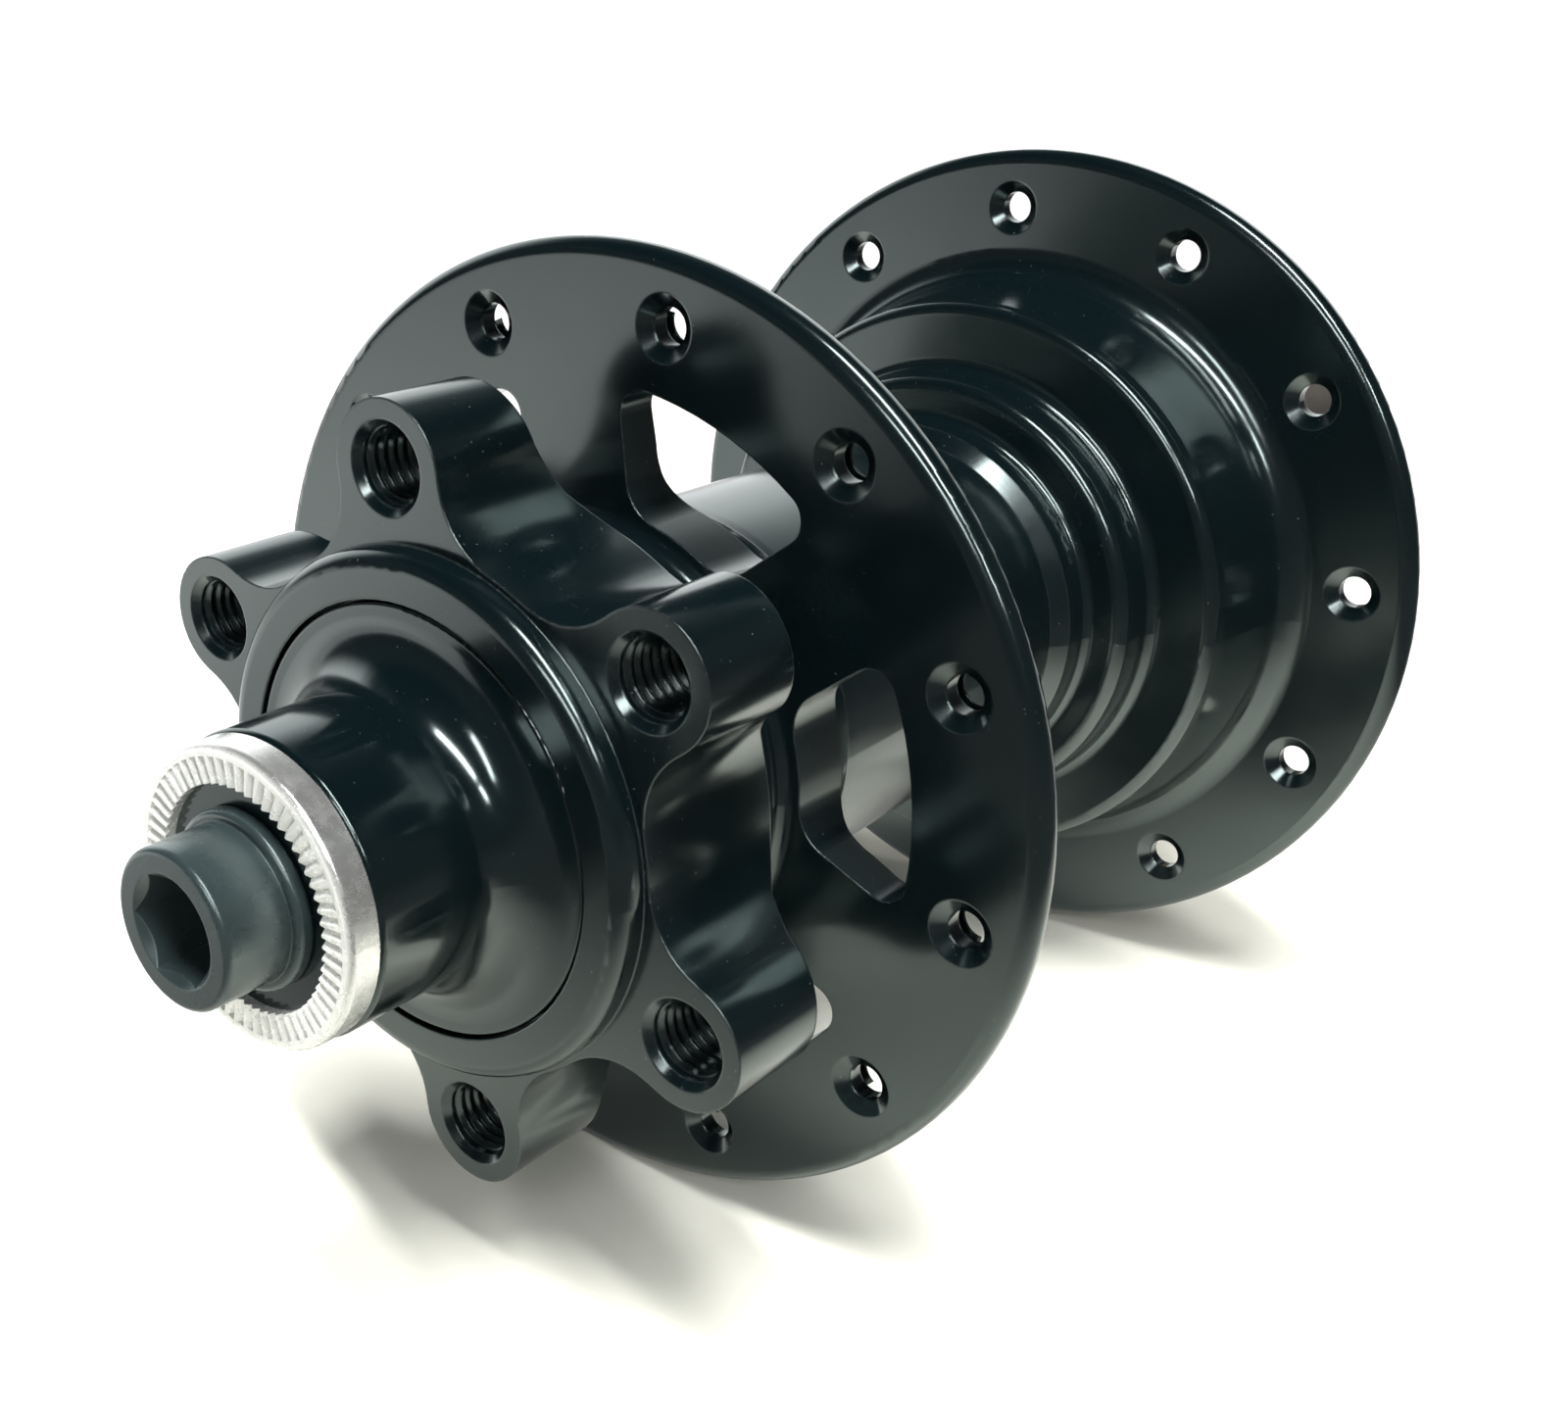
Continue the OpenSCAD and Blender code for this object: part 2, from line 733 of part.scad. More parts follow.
// Saw teeth that the pawls push against
module ratchet_ring() {
    face_shift = 0.25;
    teeth_outline = [
        for (i = [0 : ratchet_teeth - 1]) each [
            for (corner = [[0, tooth_tip_r], [face_shift, tooth_root_r]])
                let (a = i * tooth_pitch + corner[0] - pawl_angles[0] - tooth_face_angle)
                    [corner[1] * cos(a), corner[1] * sin(a)]
        ]
    ];
    color(steel) on_axle(ratchet_y) linear_extrude(ratchet_w) difference() {
        circle(drum_bore_d / 2 - seat_gap);
        polygon(teeth_outline);
    }
}

// Rubber lip between the shell and the freehub
module hub_seal() {
    seal_y = ratchet_y + ratchet_w + 0.2;
    color(rubber) on_axle()
        ring(neck_r + turn_gap, drum_bore_d / 2 - seat_gap, seal_y, shell_end_y - 0.3);
}

// Flat outline of the splined part: nine grooves, one of them wide
module spline_outline() {
    groove_w = 4.2;
    wide_groove_w = 6.6;
    difference() {
        circle(spline_d / 2);
        for (i = [0 : 8]) rotate([0, 0, i * 40]) intersection() {
            translate([0, i == 0 ? -wide_groove_w / 2 : -groove_w / 2])
                square([spline_d, i == 0 ? wide_groove_w : groove_w]);
            difference() {
                circle(spline_d / 2 + 1);
                circle(spline_root_d / 2);
            }
        }
    }
}

// Pocket in the carrier for one pawl, drawn around its pivot
module pawl_pocket() {
    root_gap = 0.06;
    pocket_length = 6.9;
    mouth_x = 4;
    mouth_y = 0.4;
    socket_y = 0.2;
    floor_start = [-1.75, 0.9];
    floor_end = [-0.55, pocket_length];
    circle(pawl_root_r + root_gap);
    polygon([
        floor_start,
        floor_end,
        [mouth_x, pocket_length],
        [mouth_x, mouth_y],
        [0.3, socket_y],
        [-1.2, socket_y]
    ]);
}

// Places children at one pawl's pivot, with the pawl pointing in the driving direction
module at_pawl(angle) {
    rotate([0, 0, -angle]) mirror([0, 1, 0]) translate([pawl_pivot_r, 0, 0]) children();
}

module freehub_body() {
    bearing_room_y = inboard_bearing_y + small_bearing[2];
    snap_y = outboard_bearing_y + small_bearing[2];
    lip_y = shoulder_y - lip_t;
    color(bronze) on_axle() difference() {
        union() {
            rotate_extrude() rounded_band(0, carrier_r, carrier_y, carrier_y + carrier_w, 0.3);
            ring(0, neck_r, carrier_y + carrier_w - 0.5, lip_y + 1);
            rotate_extrude() rounded_band(0, lip_r, lip_y, shoulder_y, 0.3);
            translate([0, 0, shoulder_y - 0.5]) linear_extrude(spline_length + 0.5)
                spline_outline();
        }
        translate([0, 0, carrier_y - cut])
            cylinder(h = bearing_room_y - carrier_y + cut, d = small_bearing[1]);
        translate([0, 0, bearing_room_y - cut])
            cylinder(h = outboard_bearing_y - bearing_room_y + 2 * cut, d = freehub_bore_d);
        translate([0, 0, outboard_bearing_y])
            cylinder(h = freehub_end_y - outboard_bearing_y + cut, d = small_bearing[1]);
        translate([0, 0, snap_y + 0.05])
            cylinder(h = snap_ring_t + 0.1, d = small_bearing[1] + 1.6);
        translate([0, 0, freehub_end_y - lockring_depth])
            cylinder(h = lockring_depth + cut, d = lockring_d);
        for (angle = pawl_angles)
            translate([0, 0, pawl_y]) linear_extrude(pawl_w + 0.2) at_pawl(angle) pawl_pocket();
    }
}

// Open spring ring that holds the outer bearing in the freehub
module freehub_snap_ring() {
    snap_y = outboard_bearing_y + small_bearing[2] + 0.1;
    color(steel) on_axle() difference() {
        ring(small_bearing[1] / 2 - 1, small_bearing[1] / 2 + 0.7, snap_y, snap_y + snap_ring_t);
        translate([0, -1.5, snap_y - cut]) cube([small_bearing[1], 3, snap_ring_t + 2 * cut]);
    }
}

// One pawl, drawn folded in so far that its tip lies just under the ratchet's teeth
module pawl(angle) {
    color(steel) on_axle(pawl_y + 0.1) linear_extrude(pawl_w)
        at_pawl(angle) rotate([0, 0, pawl_fold]) {
            circle(pawl_root_r);
            polygon([[pawl_root_r, 0], pawl_tip, pawl_heel, [-1.15, 0.96], [0, -0.2]]);
        }
}

module pawl_1() {
    pawl(pawl_angles[0]);
}

module pawl_2() {
    pawl(pawl_angles[1]);
}

module pawl_3() {
    pawl(pawl_angles[2]);
}

// Leaf springs under the pawls, drawn pressed flat on the floors of the pockets
module pawl_springs() {
    leaf = [[-1.55, 1.7], [-0.6, 6.45], [-0.45, 6.42], [-1.4, 1.67]];
    color(silver) on_axle(pawl_y + 1.5) linear_extrude(pawl_w - 2.8)
        for (angle = pawl_angles) at_pawl(angle) polygon(leaf);
}

axle();
disc_axle_bolt();
drive_axle_bolt();
disc_end_cap();
drive_end_cap();
disc_dropout_ring();
drive_dropout_ring();
disc_cap_o_ring();
drive_cap_o_ring();
bearing_spacer();
freehub_sleeve();
disc_bearing_inner();
disc_bearing_outer();
disc_bearing_balls();
disc_bearing_cage();
disc_bearing_seals();
centre_bearing_inner();
centre_bearing_outer();
centre_bearing_balls();
centre_bearing_cage();
centre_bearing_seals();
hub_shell();
ratchet_ring();
hub_seal();
freehub_body();
freehub_snap_ring();
pawl_springs();
pawl_1();
pawl_2();
pawl_3();
inboard_bearing_inner();
inboard_bearing_outer();
inboard_bearing_balls();
inboard_bearing_cage();
inboard_bearing_seals();
outboard_bearing_inner();
outboard_bearing_outer();
outboard_bearing_balls();
outboard_bearing_cage();
outboard_bearing_seals();
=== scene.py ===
import math

import bpy
from mathutils import Matrix, Vector


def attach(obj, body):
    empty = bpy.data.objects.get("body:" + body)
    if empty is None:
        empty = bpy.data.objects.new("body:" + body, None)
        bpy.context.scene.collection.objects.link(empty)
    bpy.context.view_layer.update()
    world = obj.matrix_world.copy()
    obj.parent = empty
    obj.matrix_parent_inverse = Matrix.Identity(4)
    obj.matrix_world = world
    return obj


# Looks for the disc brake rear hub, in the part's own frame: the axle lies along Y,
# the brake side is at -Y and +Z is up. The scene is in metres.

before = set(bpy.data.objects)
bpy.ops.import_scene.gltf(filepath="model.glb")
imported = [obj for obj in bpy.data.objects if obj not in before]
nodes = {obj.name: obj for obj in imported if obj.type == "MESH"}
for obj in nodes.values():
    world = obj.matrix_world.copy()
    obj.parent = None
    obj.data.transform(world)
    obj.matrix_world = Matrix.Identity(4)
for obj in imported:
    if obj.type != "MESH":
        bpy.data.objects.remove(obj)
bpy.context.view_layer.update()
MM = 0.001

# Sizes of the part that the looks need, in millimetres
ROTOR_FACE_Y = -52.2
BOLT_CIRCLE_R = 22.0
BOLT_R = 2.5
LOCKRING_R = 15.3
FREEHUB_END_Y = 62.0
DISC_FLANGE_R = 33.5
DRIVE_FLANGE_R = 34.4
DISC_FLANGE_MIDDLE_Y = -34.6
DRIVE_FLANGE_MIDDLE_Y = 21.0
FLANGE_T = 2.4
RIM_ROUNDING = 1.08
RING_FACE_R = 9.05
RING_RIM_R = 9.4

# Angle of the first rotor lug in degrees, from +X towards +Z
FIRST_LUG_ANGLE = 38.2

# The flanges' rims are round in the solid, so no rounding is added further out than this.
ROUNDED_WITHIN = 32.2


# Nodes

class Nodes:
    """The nodes of a material or of the world, with short names for those used here."""

    def __init__(self, tree):
        self.tree = tree

    def node(self, kind, **settings):
        made = self.tree.nodes.new(kind)
        for key, value in settings.items():
            setattr(made, key, value)
        return made

    def feed(self, socket, value):
        """Gives a socket the output of another node, or a plain value."""
        if isinstance(value, bpy.types.NodeSocket):
            self.tree.links.new(value, socket)
        else:
            socket.default_value = value

    def math(self, operation, a, b=0.0):
        made = self.node("ShaderNodeMath", operation=operation)
        self.feed(made.inputs[0], a)
        self.feed(made.inputs[1], b)
        return made.outputs[0]

    def vector_math(self, operation, a, b=None):
        made = self.node("ShaderNodeVectorMath", operation=operation)
        self.feed(made.inputs[0], a)
        if b is not None:
            self.feed(made.inputs[1], b)
        gives_number = operation in ("LENGTH", "DOT_PRODUCT")
        return made.outputs["Value" if gives_number else "Vector"]

    def split(self, vector):
        made = self.node("ShaderNodeSeparateXYZ")
        self.feed(made.inputs[0], vector)
        return made.outputs

    def spread(self, value, low, high, at_low, at_high, **settings):
        """Turns low and high into two other numbers, which are held beyond them."""
        made = self.node("ShaderNodeMapRange", clamp=True, **settings)
        self.feed(made.inputs["Value"], value)
        for key, number in (("From Min", low), ("From Max", high),
                            ("To Min", at_low), ("To Max", at_high)):
            made.inputs[key].default_value = number
        return made.outputs[0]

    def mix(self, kind, input_place, output_place, factor, first, second):
        """The first value where the factor is 0 and the second where it is 1.

        Each kind of value has sockets of its own on the node, named here by their places.
        """
        made = self.node("ShaderNodeMix", data_type=kind)
        self.feed(made.inputs["Factor"], factor)
        self.feed(made.inputs[input_place], first)
        self.feed(made.inputs[input_place + 1], second)
        return made.outputs[output_place]

    def choose(self, factor, first, second):
        return self.mix("FLOAT", 2, 0, factor, first, second)

    def pick_vector(self, factor, first, second):
        return self.mix("VECTOR", 4, 1, factor, first, second)

    def blend(self, factor, first, second):
        return self.mix("RGBA", 6, 2, factor, (*first, 1.0), (*second, 1.0))


class Shader(Nodes):
    """A material being put together."""

    def __init__(self, name):
        self.material = bpy.data.materials.new(name)
        self.material.use_nodes = True
        super().__init__(self.material.node_tree)
        self.surface = self.tree.nodes["Principled BSDF"]

    def put(self, key, value):
        """Sets an input of the surface, where a tuple is a colour."""
        if isinstance(value, tuple):
            value = (*value, 1.0)
        self.feed(self.surface.inputs[key], value)

    def place(self):
        return self.node("ShaderNodeTexCoord").outputs["Object"]

    def from_axle(self):
        """Vector from the axle's line to the place."""
        return self.vector_math("MULTIPLY", self.place(), (1.0, 0.0, 1.0))

    def radius(self):
        """Distance from the axle's line."""
        return self.vector_math("LENGTH", self.from_axle())

    def station(self):
        """Distance along the axle."""
        return self.split(self.place())["Y"]

    def around_axle(self):
        """Place made of radius and station, so that noise makes rings."""
        joined = self.node("ShaderNodeCombineXYZ")
        self.feed(joined.inputs["X"], self.radius())
        self.feed(joined.inputs["Y"], self.station())
        return joined.outputs[0]

    def mesh_normal(self):
        return self.node("ShaderNodeNewGeometry").outputs["Normal"]

    def noise(self, vector, scale, detail=3.0, roughness=0.5):
        made = self.node("ShaderNodeTexNoise")
        self.feed(made.inputs["Vector"], vector)
        self.feed(made.inputs["Scale"], scale)
        self.feed(made.inputs["Detail"], detail)
        self.feed(made.inputs["Roughness"], roughness)
        return made.outputs["Fac"]

    def bump(self, height, strength, depth, normal=None):
        """Normal that follows a height; the depth is in millimetres."""
        made = self.node("ShaderNodeBump")
        self.feed(made.inputs["Strength"], strength)
        self.feed(made.inputs["Distance"], depth * MM)
        self.feed(made.inputs["Height"], height)
        if normal is not None:
            self.feed(made.inputs["Normal"], normal)
        return made.outputs["Normal"]

    def rounded_edges(self, rounding, within=None):
        """Normal that rounds the edges, or only those nearer to the axle than a radius.

        Both are in millimetres.
        """
        bevel = self.node("ShaderNodeBevel", samples=6)
        self.feed(bevel.inputs["Radius"], rounding * MM)
        rounded = bevel.outputs["Normal"]
        if within is None:
            return rounded
        outside = self.math("GREATER_THAN", self.radius(), within * MM)
        return self.rim_normal(self.pick_vector(outside, rounded, self.mesh_normal()))

    def rim_normal(self, plain):
        """Clean normal on the round rims of the flanges, whose mesh is coarse, and the plain
        one elsewhere."""
        station = self.station()
        chain_side = self.math("GREATER_THAN", station, 0.0)
        middle = self.choose(chain_side, DISC_FLANGE_MIDDLE_Y * MM, DRIVE_FLANGE_MIDDLE_Y * MM)
        rim_start = self.choose(chain_side, (DISC_FLANGE_R - RIM_ROUNDING) * MM,
                                (DRIVE_FLANGE_R - RIM_ROUNDING) * MM)
        along = self.math("DIVIDE", self.math("SUBTRACT", station, middle), FLANGE_T / 2 * MM)
        along = self.math("MAXIMUM", self.math("MINIMUM", along, 1.0), -1.0)
        out = self.math("SQRT", self.math("SUBTRACT", 1.0, self.math("MULTIPLY", along, along)))
        radial = self.node("ShaderNodeVectorMath", operation="SCALE")
        self.feed(radial.inputs[0], self.vector_math("NORMALIZE", self.from_axle()))
        self.feed(radial.inputs["Scale"], out)
        axial = self.node("ShaderNodeCombineXYZ")
        self.feed(axial.inputs["Y"], along)
        turned = self.node("ShaderNodeVectorTransform", vector_type="NORMAL",
                           convert_from="OBJECT", convert_to="WORLD")
        self.feed(turned.inputs[0], self.vector_math("ADD", radial.outputs[0], axial.outputs[0]))
        on_rim = self.math("GREATER_THAN", self.radius(), rim_start)
        return self.pick_vector(on_rim, plain, turned.outputs[0])

    def edge_share(self, rounded):
        """0 on flat metal and 1 on an outer or inner edge, but not on a flange's rim."""
        likeness = self.vector_math("DOT_PRODUCT", rounded, self.rim_normal(self.mesh_normal()))
        return self.spread(likeness, 0.995, 0.93, 0.0, 1.0)


# Materials. Roundings and bump depths are in millimetres.

def anodised(name, low_roughness, high_roughness, rounding, within=None, turning=0.25,
             dye=(0.0016, 0.0042, 0.0050)):
    """Black anodised aluminium: turning rings, faint smudges, dust, and edges coloured paler as a
    painted highlight.
    """
    made = Shader(name)
    rounded = made.rounded_edges(rounding, within)
    rings = made.noise(made.around_axle(), scale=5200.0, detail=2.0)
    smudges = made.noise(made.place(), scale=160.0, detail=4.0, roughness=0.6)
    grain = made.noise(made.place(), scale=2600.0, detail=3.0, roughness=0.6)
    specks = made.noise(made.place(), scale=5200.0, detail=0.0)
    # Painted highlight: edges, inner ones too, are coloured paler and broken up by grain; the
    # specks below are dust.
    painted_edge_highlight = made.math("MULTIPLY", made.edge_share(rounded),
                     made.spread(grain, 0.45, 0.7, 0.25, 1.0))
    dust = made.spread(specks, 0.83, 0.86, 0.0, 0.25)
    dust_and_painted_highlight = made.math("MAXIMUM", made.math("MULTIPLY", painted_edge_highlight, 0.2), dust)
    made.put("Base Color", made.blend(dust_and_painted_highlight, dye, (0.16, 0.18, 0.18)))
    made.put("Roughness", made.spread(smudges, 0.35, 0.7, low_roughness, high_roughness))
    made.put("IOR", 1.9)
    made.put("Specular Tint", (0.84, 1.0, 0.98))
    made.put("Normal", made.bump(rings, turning, 0.004, rounded))
    return made.material


def plated_steel(name):
    """Bright plated steel of the serrated rings: a white stamped face and a shiny rim."""
    made = Shader(name)
    patches = made.noise(made.place(), scale=900.0, detail=4.0, roughness=0.65)
    scratches = made.noise(made.around_axle(), scale=2600.0, detail=3.0)
    made.put("Metallic", made.spread(made.radius(), RING_FACE_R * MM, RING_RIM_R * MM, 0.35, 0.9))
    made.put("Base Color", made.blend(patches, (0.72, 0.73, 0.71), (0.95, 0.96, 0.93)))
    made.put("Roughness", made.spread(patches, 0.3, 0.75, 0.16, 0.38))
    made.put("Normal", made.bump(scratches, 0.35, 0.012, made.rounded_edges(0.08)))
    return made.material


def machined_steel(name, dark, light, low_roughness, high_roughness):
    """Turned bare metal with fine rings and a mottled tone."""
    made = Shader(name)
    rings = made.noise(made.around_axle(), scale=4200.0, detail=3.0)
    mottle = made.noise(made.place(), scale=420.0, detail=5.0, roughness=0.6)
    made.put("Metallic", 1.0)
    made.put("Base Color", made.blend(mottle, dark, light))
    made.put("Roughness", made.spread(rings, 0.3, 0.7, low_roughness, high_roughness))
    made.put("Normal", made.bump(rings, 0.4, 0.008, made.rounded_edges(0.12)))
    return made.material


def rubber(name):
    """Black rubber of the seals, with a fine moulded skin."""
    made = Shader(name)
    skin = made.noise(made.place(), scale=3500.0, detail=4.0, roughness=0.7)
    bloom = made.noise(made.place(), scale=300.0, detail=3.0)
    made.put("Base Color", made.blend(bloom, (0.008, 0.008, 0.009), (0.022, 0.022, 0.024)))
    made.put("Roughness", made.spread(skin, 0.3, 0.7, 0.5, 0.75))
    made.put("Normal", made.bump(skin, 0.35, 0.01))
    return made.material


def moulded_nylon(name):
    """Pale glass filled nylon of the bearing cages."""
    made = Shader(name)
    fibres = made.noise(made.place(), scale=2200.0, detail=5.0, roughness=0.7)
    made.put("Base Color", made.blend(fibres, (0.55, 0.5, 0.4), (0.72, 0.67, 0.55)))
    made.put("Roughness", made.spread(fibres, 0.3, 0.7, 0.42, 0.6))
    made.put("Normal", made.bump(fibres, 0.25, 0.01))
    return made.material


def dress(material, names):
    for name in names:
        mesh = nodes[name].data
        mesh.materials.clear()
        mesh.materials.append(material)


def smooth(mesh, angle_deg=33.0):
    mesh.shade_smooth()
    mesh.set_sharp_from_angle(angle=math.radians(angle_deg))


shell_black = anodised("shell_black", 0.15, 0.20, 0.22, within=ROUNDED_WITHIN)
cap_black = anodised("cap_black", 0.12, 0.17, 0.18)
bolt_black = anodised("bolt_black", 0.22, 0.34, 0.15, turning=0.5, dye=(0.018, 0.027, 0.028))
ring_silver = plated_steel("ring_silver")
freehub_grey = machined_steel("freehub_grey", (0.20, 0.165, 0.14), (0.33, 0.29, 0.25), 0.28, 0.42)
axle_steel = machined_steel("axle_steel", (0.50, 0.51, 0.53), (0.68, 0.69, 0.71), 0.22, 0.36)
ratchet_steel = machined_steel("ratchet_steel", (0.36, 0.36, 0.37), (0.55, 0.55, 0.56), 0.2, 0.34)
bearing_steel = machined_steel("bearing_steel", (0.58, 0.59, 0.61), (0.74, 0.75, 0.77), 0.1, 0.2)
seal_rubber = rubber("seal_rubber")
cage_nylon = moulded_nylon("cage_nylon")

BEARINGS = ["disc_bearing", "centre_bearing", "inboard_bearing", "outboard_bearing"]
dress(shell_black, ["hub_shell"])
dress(cap_black, ["disc_end_cap", "drive_end_cap"])
dress(bolt_black, ["disc_axle_bolt", "drive_axle_bolt"])
dress(ring_silver, ["disc_dropout_ring", "drive_dropout_ring"])
dress(freehub_grey, ["freehub_body"])
dress(axle_steel, ["axle", "bearing_spacer", "freehub_sleeve"])
dress(ratchet_steel, ["ratchet_ring", "pawl_1", "pawl_2", "pawl_3", "pawl_springs",
                      "freehub_snap_ring"])
dress(bearing_steel, [b + part for b in BEARINGS for part in ("_inner", "_outer", "_balls")])
dress(seal_rubber, ["hub_seal", "disc_cap_o_ring", "drive_cap_o_ring"]
      + [b + "_seals" for b in BEARINGS])
dress(cage_nylon, [b + "_cage" for b in BEARINGS])
for node in nodes.values():
    smooth(node.data)


# Screw threads, in millimetres

def thread(name, centre, wall_r, depth, pitch, start_y, length, steps=36):
    """Ridge of an internal thread: a wedge wound round the wall of a hole that runs along Y.

    Its root lies a little inside the wall, and it grows and fades over half a turn.
    """
    turns = length / pitch
    count = int(turns * steps)
    root_r = wall_r + 0.03
    root_half = 0.47 * pitch
    crest_half = 0.07 * pitch
    fade_turns = 0.5
    least_share = 0.02
    points, faces = [], []
    for i in range(count + 1):
        turn = i / steps
        angle = 2 * math.pi * turn
        share = max(min(1.0, turn / fade_turns, (turns - turn) / fade_turns), least_share)
        crest_r = root_r - (root_r - wall_r + depth) * share
        y = start_y + pitch * turn
        for radius, shift in ((root_r, -root_half), (crest_r, -crest_half),
                              (crest_r, crest_half), (root_r, root_half)):
            points.append((centre[0] + radius * math.cos(angle), y + shift,
                           centre[1] + radius * math.sin(angle)))
    for i in range(count):
        for j in range(4):
            a, b = 4 * i + j, 4 * i + (j + 1) % 4
            faces.append((a, b, b + 4, a + 4))
    faces.append((3, 2, 1, 0))
    faces.append(tuple(4 * count + j for j in range(4)))
    mesh = bpy.data.meshes.new(name)
    mesh.from_pydata([Vector(p) * MM for p in points], [], faces)
    mesh.update()
    smooth(mesh, 35.0)
    made = bpy.data.objects.new(name, mesh)
    bpy.context.scene.collection.objects.link(made)
    return made


def rotor_threads():
    below_face = 0.75
    for i in range(6):
        angle = math.radians(FIRST_LUG_ANGLE + 60 * i)
        centre = (BOLT_CIRCLE_R * math.cos(angle), BOLT_CIRCLE_R * math.sin(angle))
        made = thread(f"rotor_thread_{i + 1}", centre, BOLT_R, depth=0.36, pitch=0.8,
                      start_y=ROTOR_FACE_Y + below_face, length=6.2)
        made.data.materials.append(shell_black)
        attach(made, "shell_group")


def lockring_thread():
    from_end = 3.8
    made = thread("lockring_thread", (0, 0), LOCKRING_R, depth=0.45, pitch=1.06,
                  start_y=FREEHUB_END_Y - from_end, length=3.2, steps=96)
    made.data.materials.append(freehub_grey)
    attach(made, "freehub_group")


rotor_threads()
lockring_thread()


# Floor, lights and camera

def floor():
    """Sheet just under the rims of both flanges, which differ a little in size."""
    slope = (DRIVE_FLANGE_R - DISC_FLANGE_R) / (DISC_FLANGE_MIDDLE_Y - DRIVE_FLANGE_MIDDLE_Y)
    half_width = 4000.0
    gap = 0.05
    corners = []
    for x, y in ((-1, -1), (1, -1), (1, 1), (-1, 1)):
        rise = slope * (y * half_width - DRIVE_FLANGE_MIDDLE_Y)
        corners.append(Vector((x * half_width, y * half_width, rise - DRIVE_FLANGE_R - gap)) * MM)
    mesh = bpy.data.meshes.new("floor")
    mesh.from_pydata(corners, [], [(0, 1, 2, 3)])
    made = bpy.data.objects.new("floor", mesh)
    bpy.context.scene.collection.objects.link(made)
    made.data.materials.append(paper("floor_paper"))


def paper(name):
    """White paper near the hub, which turns into an evenly bright sheet further out.

    In reflections the sheet is a painted reflection: bright on the left and dark in front, where
    the hub's flat faces mirror the unlit side of the room. Distances are in metres.
    """
    towards_front = (0.889, -0.458, 0.0)
    camera_white = 1.2
    plain_glow = 0.6
    painted_bright_left = 1.6
    painted_dark_front = 0.12
    far_share = 0.6
    made = Shader(name)
    grain = made.noise(made.place(), scale=700.0, detail=4.0, roughness=0.6)
    made.put("Base Color", made.blend(grain, (0.87, 0.865, 0.77), (0.91, 0.905, 0.81)))
    made.put("Roughness", 0.9)
    distance = made.vector_math("LENGTH", made.place())
    in_front = made.vector_math("DOT_PRODUCT", made.place(), towards_front)
    path = made.node("ShaderNodeLightPath").outputs
    # Painted reflection: in reflections the sheet glows bright on the left and dark in front, and
    # fades further out.
    painted_side_reflection = made.spread(in_front, -0.045, 0.025, painted_bright_left, painted_dark_front)
    painted_reflection_fade = made.spread(distance, 0.20, 0.45, 1.0, far_share)
    painted_reflection = made.math("MULTIPLY", painted_side_reflection, painted_reflection_fade)
    shown = made.choose(path["Is Camera Ray"], plain_glow, camera_white)
    glow = made.node("ShaderNodeEmission")
    glow.inputs["Color"].default_value = (1.0, 0.995, 0.98, 1.0)
    made.feed(glow.inputs["Strength"], made.choose(path["Is Glossy Ray"], shown, painted_reflection))
    share = made.choose(path["Is Glossy Ray"], made.spread(distance, 0.14, 0.30, 0.0, 1.0),
                        made.spread(distance, 0.05, 0.11, 0.25, 1.0))
    mixed = made.node("ShaderNodeMixShader")
    made.feed(mixed.inputs[0], share)
    made.feed(mixed.inputs[1], made.surface.outputs[0])
    made.feed(mixed.inputs[2], glow.outputs[0])
    made.feed(made.tree.nodes["Material Output"].inputs["Surface"], mixed.outputs[0])
    return made.material


def surroundings():
    """White for the camera, an even glow that lights the scene, and in reflections a dim room
    with a bright low wall behind the hub on the left, which ends in the dark higher up."""
    camera_white = 1.2
    even_glow = 0.17
    dim_room = 0.05
    bright_wall = 1.7
    dark_above = 0.06
    towards_wall = Vector((-0.70, 0.70, 0.14)).normalized()
    world = bpy.data.worlds.new("studio")
    bpy.context.scene.world = world
    world.use_nodes = True
    world.node_tree.nodes.clear()
    made = Nodes(world.node_tree)
    path = made.node("ShaderNodeLightPath").outputs
    direction = made.node("ShaderNodeTexCoord").outputs["Generated"]
    wall = made.spread(made.vector_math("DOT_PRODUCT", direction, towards_wall),
                       0.45, 0.8, dim_room, bright_wall, interpolation_type="SMOOTHSTEP")
    height = made.split(direction)["Z"]
    room = made.math("MULTIPLY", wall, made.spread(height, 0.45, 0.65, 1.0, dark_above))
    strength = made.choose(path["Is Glossy Ray"], even_glow, room)
    strength = made.choose(path["Is Camera Ray"], strength, camera_white)
    background = made.node("ShaderNodeBackground")
    background.inputs["Color"].default_value = (0.97, 1.0, 1.0, 1.0)
    made.feed(background.inputs["Strength"], strength)
    output = made.node("ShaderNodeOutputWorld")
    made.feed(output.inputs["Surface"], background.outputs[0])


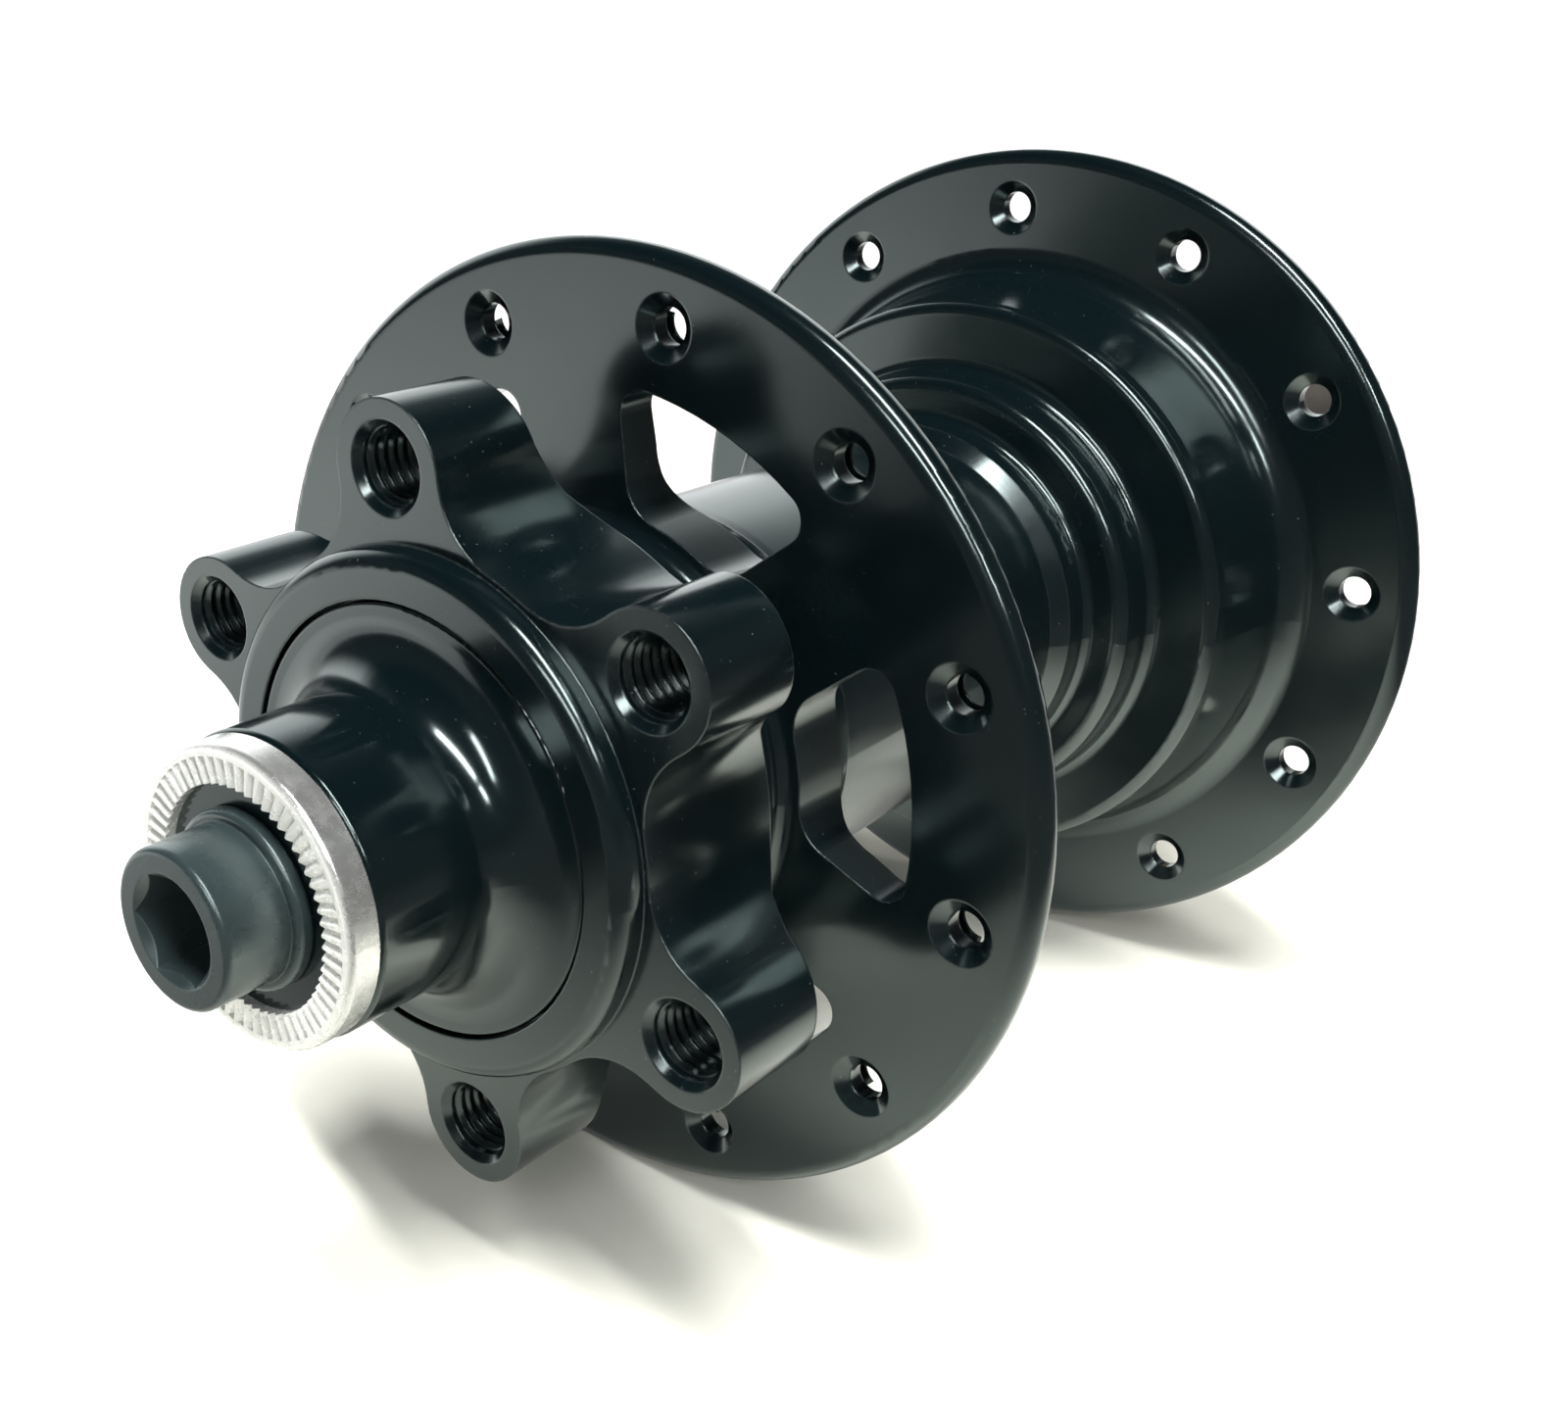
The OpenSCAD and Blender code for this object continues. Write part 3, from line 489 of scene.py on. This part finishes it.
def lamp(name, place, length, width, watts, turn=0.0, target=None, in_reflections=True):
    """Flat lamp that shines straight down, or at a target. Places and sizes in metres."""
    if target is None:
        target = (place[0], place[1], 0.0)
    light = bpy.data.lights.new(name, "AREA")
    light.shape = "RECTANGLE"
    light.size = length
    light.size_y = width
    light.energy = watts
    made = bpy.data.objects.new(name, light)
    bpy.context.scene.collection.objects.link(made)
    down = (Vector(target) - Vector(place)).normalized()
    along = Vector((math.cos(turn), math.sin(turn), 0.0))
    across = down.cross(along).normalized() * -1
    along = across.cross(down).normalized() * -1
    axes = Matrix((along, across, -down)).transposed()
    made.matrix_world = Matrix.Translation(place) @ axes.to_4x4()
    made.visible_glossy = in_reflections
    made.visible_camera = False


def lights():
    """Two rows of ceiling lights that show as streaks, a long narrow one that throws the
    shadows, and a weak one from behind. The last two don't show in reflections."""
    tilt = math.radians(-22)
    lamp("row_a_long", (0.48, -0.20, 0.8), length=0.78, width=0.10, watts=7.0, turn=tilt)
    lamp("row_a_short", (1.28, -0.50, 0.8), length=0.52, width=0.10, watts=5.0, turn=tilt)
    lamp("row_b_long", (0.62, -1.02, 0.8), length=0.80, width=0.16, watts=7.0, turn=tilt)
    lamp("key", (0.0, -0.19, 1.0), length=1.0, width=0.06, watts=24.0, turn=tilt,
         in_reflections=False)
    lamp("back", (-0.35, 0.45, 0.9), length=0.5, width=0.25, watts=1.5,
         target=(0.0, 0.0, 0.0), in_reflections=False)


def camera():
    """Camera at the photograph's place: focal length and centre fitted to the hub's circles."""
    made = bpy.data.objects.new("camera", bpy.data.cameras.new("camera"))
    bpy.context.scene.collection.objects.link(made)
    made.data.sensor_width = 36.0
    made.data.lens = 42.72
    made.data.shift_x = 0.15
    made.data.shift_y = 0.0266
    made.data.clip_start = 0.01
    made.data.clip_end = 20.0
    place = (0.07659, -0.12508, 0.05113)
    right = Vector((0.73824, 0.67454, 0.0))
    up = Vector((-0.27246, 0.29819, 0.91479))
    back = Vector((0.61706, -0.67534, 0.40393))
    axes = Matrix((right, up, back)).transposed()
    made.matrix_world = Matrix.Translation(place) @ axes.to_4x4()
    bpy.context.scene.camera = made


floor()
surroundings()
lights()
camera()
bpy.context.scene.view_settings.view_transform = "Standard"
